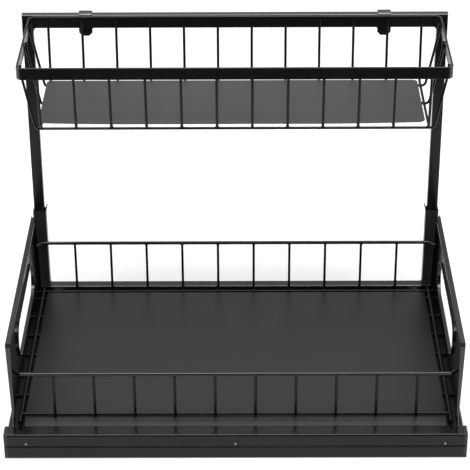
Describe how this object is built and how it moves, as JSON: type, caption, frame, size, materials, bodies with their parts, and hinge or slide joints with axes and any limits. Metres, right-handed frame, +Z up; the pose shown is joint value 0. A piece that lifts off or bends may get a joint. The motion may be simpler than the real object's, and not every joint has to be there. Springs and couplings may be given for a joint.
{
  "type": "under sink organizer",
  "caption": "Two-tier black steel organizer for under a sink, with a pull-out wire drawer on a low base and a wire basket hung on a plug-in rear frame",
  "frame": {"origin": "centre of the underside's footprint, on the cabinet floor", "axes": "+Z up, -Y the front that the drawer pulls out to, X along the width with +X at the right"},
  "size_m": [0.42, 0.268, 0.3288],
  "materials": {
    "powder_coat": "satin",
    "plate_coat": "satin",
    "liner_sheet": "matte",
    "end_cap_plastic": "matte",
    "zinc_steel": "brushed",
    "black_screw": "satin"
  },
  "bodies": {
    "base": {"base_front_beam": "powder_coat", "base_front_caps": "end_cap_plastic", "base_rear_beam": "powder_coat", "base_rear_caps": "end_cap_plastic", "base_side_rail_left": "powder_coat", "base_side_rail_right": "powder_coat", "post_sleeve_left": "powder_coat", "post_sleeve_right": "powder_coat", "slide_outer_left": "zinc_steel", "slide_outer_right": "zinc_steel"},
    "slide_middle_left_body": {"slide_middle_left": "zinc_steel"},
    "slide_middle_right_body": {"slide_middle_right": "zinc_steel"},
    "drawer": {"drawer_front_rail": "powder_coat", "drawer_rail_caps": "end_cap_plastic", "front_screws": "black_screw", "drawer_side_angle_left": "powder_coat", "drawer_side_angle_right": "powder_coat", "slide_inner_left": "zinc_steel", "slide_inner_right": "zinc_steel", "side_panel_left": "powder_coat", "side_panel_right": "powder_coat", "front_fence_top_wire": "powder_coat", "front_fence_uprights": "powder_coat", "front_fence_bottom_wire": "powder_coat", "rear_fence_top_wire": "powder_coat", "rear_fence_uprights": "powder_coat", "rear_fence_bottom_wire": "powder_coat", "floor_cross_wires": "powder_coat", "floor_side_wires": "powder_coat", "floor_plate": "plate_coat"},
    "upper_frame": {"upper_post_left": "powder_coat", "upper_post_right": "powder_coat", "crossbar": "powder_coat", "corner_gussets": "powder_coat"},
    "upper_basket": {"upper_rim": "powder_coat", "basket_long_wire_01": "powder_coat", "basket_long_wire_02": "powder_coat", "basket_long_wire_03": "powder_coat", "basket_long_wire_04": "powder_coat", "basket_long_wire_05": "powder_coat", "basket_long_wire_06": "powder_coat", "basket_long_wire_07": "powder_coat", "basket_long_wire_08": "powder_coat", "basket_long_wire_09": "powder_coat", "basket_long_wire_10": "powder_coat", "basket_long_wire_11": "powder_coat", "basket_long_wire_12": "powder_coat", "basket_cross_wire_1": "powder_coat", "basket_cross_wire_2": "powder_coat", "basket_cross_wire_3": "powder_coat", "basket_hook_left": "powder_coat", "basket_hook_right": "powder_coat"},
    "upper_liner_body": {"upper_liner": "liner_sheet"}
  },
  "joints": [
    {"name": "drawer_slide", "type": "slide", "parent": "base", "child": "drawer", "axis": [0, -1, 0], "range_m": [0, 0.2]},
    {"name": "slide_middle_left_travel", "type": "slide", "parent": "base", "child": "slide_middle_left_body", "axis": [0, -1, 0], "range_m": [0, 0.1]},
    {"name": "slide_middle_right_travel", "type": "slide", "parent": "base", "child": "slide_middle_right_body", "axis": [0, -1, 0], "range_m": [0, 0.1]},
    {"name": "upper_frame_lift", "type": "slide", "parent": "base", "child": "upper_frame", "axis": [0, 0, 1], "range_m": [0, 0.096]},
    {"name": "upper_basket_lift", "type": "slide", "parent": "upper_frame", "child": "upper_basket", "axis": [0, 0, 1], "range_m": [0, 0.022]},
    {"name": "upper_liner_lift", "type": "slide", "parent": "upper_basket", "child": "upper_liner_body", "axis": [0, 0, 1], "range_m": [0, 0.065]}
  ],
  "couplings": [
    {"joint": "slide_middle_left_travel", "follows": "drawer_slide", "ratio": 0.5},
    {"joint": "slide_middle_right_travel", "follows": "drawer_slide", "ratio": 0.5}
  ]
}
